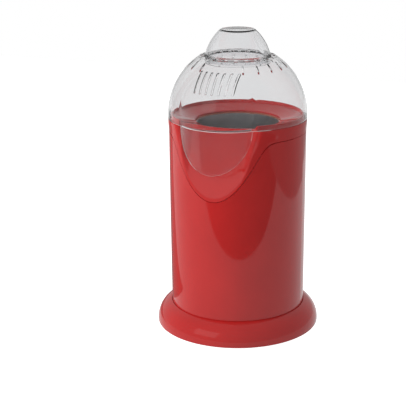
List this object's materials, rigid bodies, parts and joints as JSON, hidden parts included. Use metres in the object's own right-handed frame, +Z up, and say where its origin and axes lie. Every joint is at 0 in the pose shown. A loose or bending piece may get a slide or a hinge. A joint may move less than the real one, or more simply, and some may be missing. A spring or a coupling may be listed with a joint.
{
  "type": "popcorn maker",
  "caption": "Hot-air popcorn maker with a round glossy housing, clear lift-off domed cover with a pouring chute, measuring cup cap, fan, heater and popping chamber.",
  "frame": {"origin": "on the surface that the feet stand on, under the middle of the base ring", "axes": "+Z up along the housing's axis, -Y towards the pouring chute, +X to the right seen from the chute"},
  "size_m": [0.182, 0.182, 0.3314],
  "materials": {
    "red_plastic": "high gloss",
    "clear_plastic": "clear and polished",
    "black_plastic": "fine spark texture",
    "black_gloss": "satin gloss",
    "cream_plastic": "heat-resistant moulding",
    "foot_rubber": "matt",
    "silicone": "matt",
    "aluminium": "deep-drawn, satin",
    "steel": "zinc plated",
    "brass": "bare",
    "magnet": "ferrite",
    "mica": "pressed mica sheet",
    "heater_wire": "oxidised resistance wire",
    "circuit_board": "solder mask",
    "capacitor_epoxy": "dipped epoxy",
    "wire_sleeve": "glass-fibre sleeve",
    "wire_brown": "PVC",
    "wire_red": "PVC"
  },
  "bodies": {
    "base": {"base_ring": "red_plastic", "base_plate": "black_plastic", "rubber_feet": "foot_rubber", "base_screws": "steel", "housing": "red_plastic", "chute_collar": "red_plastic", "popping_chamber": "aluminium", "chamber_gasket": "silicone", "chamber_screws": "steel", "heater_can": "steel", "can_screws": "steel", "mica_boards": "mica", "heating_coil": "heater_wire", "thermostat": "cream_plastic", "thermal_fuse": "brass", "fan_duct": "cream_plastic", "duct_screws": "steel", "motor_bracket": "steel", "bracket_screws": "steel", "motor_case": "steel", "motor_magnets": "magnet", "motor_end_cap": "black_plastic", "motor_screws": "steel", "rectifier_board": "circuit_board", "diodes": "black_plastic", "noise_capacitor": "capacitor_epoxy", "terminal_block": "cream_plastic", "terminal_screws": "brass", "switch_body": "black_plastic", "switch_terminals": "brass", "cord_gland": "black_plastic", "gland_nut": "black_plastic", "mains_wires": "wire_brown", "motor_wires": "wire_red", "heater_wires": "wire_sleeve"},
    "cover": {"clear_cover": "clear_plastic"},
    "cup": {"measuring_cup": "clear_plastic"},
    "rotor": {"motor_shaft": "steel", "fan_impeller": "black_plastic", "fan_clip": "steel"},
    "rocker": {"switch_rocker": "black_gloss"}
  },
  "joints": [
    {"name": "cover_lift", "type": "slide", "parent": "base", "child": "cover", "axis": [0, 0, 1], "range_m": [0, 0.08]},
    {"name": "cup_lift", "type": "slide", "parent": "cover", "child": "cup", "axis": [0, 0, 1], "range_m": [0, 0.03]},
    {"name": "fan_spin", "type": "hinge", "parent": "base", "child": "rotor", "pos_m": [0, 0, 0.05], "axis": [0, 0, 1], "continuous": true},
    {"name": "switch_rock", "type": "hinge", "parent": "base", "child": "rocker", "pos_m": [0.0466, 0.05554, 0.0465], "axis": [0.766, -0.6428, 0], "range_deg": [0, 18]}
  ]
}
